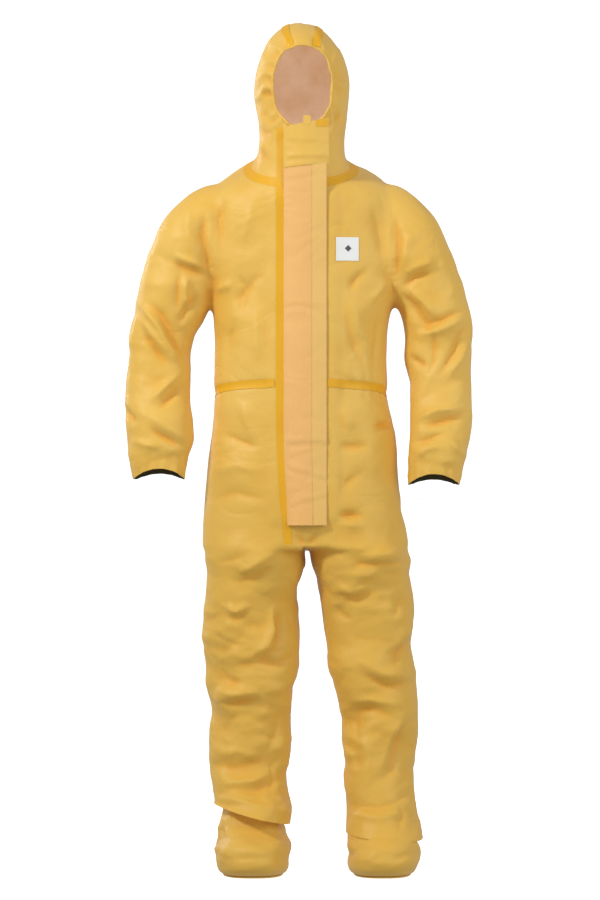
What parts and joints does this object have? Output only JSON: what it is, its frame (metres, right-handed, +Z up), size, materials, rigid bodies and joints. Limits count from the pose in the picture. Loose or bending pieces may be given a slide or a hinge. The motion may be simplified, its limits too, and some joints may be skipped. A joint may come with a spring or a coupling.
{
  "type": "chemical protective suit",
  "caption": "Hooded coverall with attached socks, a zip under storm and chin flaps, taped seams and elastic cuffs, held at the wearer's shoulders.",
  "frame": {"origin": "the point between the wearer's shoulders that carries the suit, 1490 mm above the soles of the socks", "axes": "+Z up, the wearer faces -Y, +X towards the wearer's left hand"},
  "size_m": [0.746, 0.322, 1.819],
  "materials": {
    "suit_fabric": "laminated nonwoven, satin",
    "flap_fabric": "laminated nonwoven, satin, warmer tone",
    "seam_tape": "heat-sealed film, satin",
    "zip_tape": "woven tape",
    "zip_teeth": "moulded coil",
    "zip_metal": "nickel",
    "label": "white woven label",
    "elastic": "ribbed elastic",
    "adhesive": "release paper",
    "inner_cuff": "dark knitted cuff"
  },
  "bodies": {
    "jacket": {"front_left_panel": "suit_fabric", "front_right_panel": "suit_fabric", "back_panel": "suit_fabric", "hip_left_panel": "suit_fabric", "hip_right_panel": "suit_fabric", "crotch_gusset": "suit_fabric", "waist_elastic": "elastic", "zip_tape_left": "zip_tape", "zip_tape_right": "zip_tape", "zip_teeth_left": "zip_teeth", "zip_teeth_right": "zip_teeth", "zip_top_stops": "zip_metal", "zip_bottom_stop": "zip_metal", "neck_seam_tape": "seam_tape", "waist_seam_tape": "seam_tape", "flap_seam_tape": "seam_tape", "chest_label": "label", "flap_adhesive_strip": "adhesive"},
    "inner_flap": {"inner_flap": "suit_fabric"},
    "zip_slider": {"zip_slider": "zip_metal"},
    "zip_pull": {"zip_pull": "zip_metal"},
    "storm_flap": {"storm_flap": "flap_fabric", "flap_edge_strip": "suit_fabric"},
    "hood": {"hood_left_panel": "suit_fabric", "hood_right_panel": "suit_fabric", "hood_crown_panel": "suit_fabric", "hood_seam_tapes": "seam_tape", "face_elastic": "elastic"},
    "chin_flap": {"chin_flap": "suit_fabric", "chin_flap_tab": "seam_tape"},
    "arm_left": {"upper_sleeve_left": "suit_fabric", "armhole_tape_left": "seam_tape"},
    "forearm_left": {"lower_sleeve_left": "suit_fabric", "wrist_elastic_left": "elastic", "inner_cuff_left": "inner_cuff"},
    "leg_left": {"thigh_left": "suit_fabric", "inseam_tape_left": "seam_tape"},
    "shank_left": {"shin_left": "suit_fabric", "boot_flap_left": "suit_fabric", "sock_left": "suit_fabric", "sock_sole_left": "suit_fabric"},
    "arm_right": {"upper_sleeve_right": "suit_fabric", "armhole_tape_right": "seam_tape"},
    "forearm_right": {"lower_sleeve_right": "suit_fabric", "wrist_elastic_right": "elastic", "inner_cuff_right": "inner_cuff"},
    "leg_right": {"thigh_right": "suit_fabric", "inseam_tape_right": "seam_tape"},
    "shank_right": {"shin_right": "suit_fabric", "boot_flap_right": "suit_fabric", "sock_right": "suit_fabric", "sock_sole_right": "suit_fabric"}
  },
  "joints": [
    {"name": "zip_slide", "type": "slide", "parent": "jacket", "child": "zip_slider", "axis": [0, -0.03, -0.9995], "range_m": [0, 0.644]},
    {"name": "zip_pull_swing", "type": "hinge", "parent": "zip_slider", "child": "zip_pull", "pos_m": [0, -0.11398, -0.05919], "axis": [-1, 0, 0], "range_deg": [0, 14]},
    {"name": "inner_flap_hinge", "type": "hinge", "parent": "jacket", "child": "inner_flap", "pos_m": [-0.024, -0.11181, -0.3801], "axis": [0, 0.03, 0.9995], "range_deg": [0, 90]},
    {"name": "storm_flap_hinge", "type": "hinge", "parent": "jacket", "child": "storm_flap", "pos_m": [-0.04, -0.12101, -0.36682], "axis": [0, -0.03, -0.9995], "range_deg": [0, 150]},
    {"name": "hood_fold", "type": "hinge", "parent": "jacket", "child": "hood", "pos_m": [0, 0.097, -0.02], "axis": [-1, 0, 0], "range_deg": [0, 75]},
    {"name": "chin_flap_hinge", "type": "hinge", "parent": "hood", "child": "chin_flap", "pos_m": [-0.04, -0.10817, 0.06099], "axis": [0, -0.03, -0.9995], "range_deg": [0, 150]},
    {"name": "shoulder_left", "type": "hinge", "parent": "jacket", "child": "arm_left", "pos_m": [0.196, 0.005, -0.03], "axis": [0, -1, 0], "range_deg": [0, 70]},
    {"name": "elbow_left", "type": "hinge", "parent": "arm_left", "child": "forearm_left", "pos_m": [0.3015, -0.073, -0.3935], "axis": [-1, 0, 0], "range_deg": [0, 100]},
    {"name": "shoulder_right", "type": "hinge", "parent": "jacket", "child": "arm_right", "pos_m": [-0.196, 0.005, -0.03], "axis": [0, 1, 0], "range_deg": [0, 70]},
    {"name": "elbow_right", "type": "hinge", "parent": "arm_right", "child": "forearm_right", "pos_m": [-0.3015, -0.073, -0.3935], "axis": [-1, 0, 0], "range_deg": [0, 100]},
    {"name": "hip_left", "type": "hinge", "parent": "jacket", "child": "leg_left", "pos_m": [0.124, -0.111, -0.801], "axis": [-1, 0, 0], "range_deg": [0, 80]},
    {"name": "knee_left", "type": "hinge", "parent": "leg_left", "child": "shank_left", "pos_m": [0.149, 0.085, -1.0288], "axis": [1, 0, 0], "range_deg": [0, 90]},
    {"name": "hip_right", "type": "hinge", "parent": "jacket", "child": "leg_right", "pos_m": [-0.105, -0.111, -0.801], "axis": [-1, 0, 0], "range_deg": [0, 80]},
    {"name": "knee_right", "type": "hinge", "parent": "leg_right", "child": "shank_right", "pos_m": [-0.111, 0.085, -1.0288], "axis": [1, 0, 0], "range_deg": [0, 90]}
  ]
}
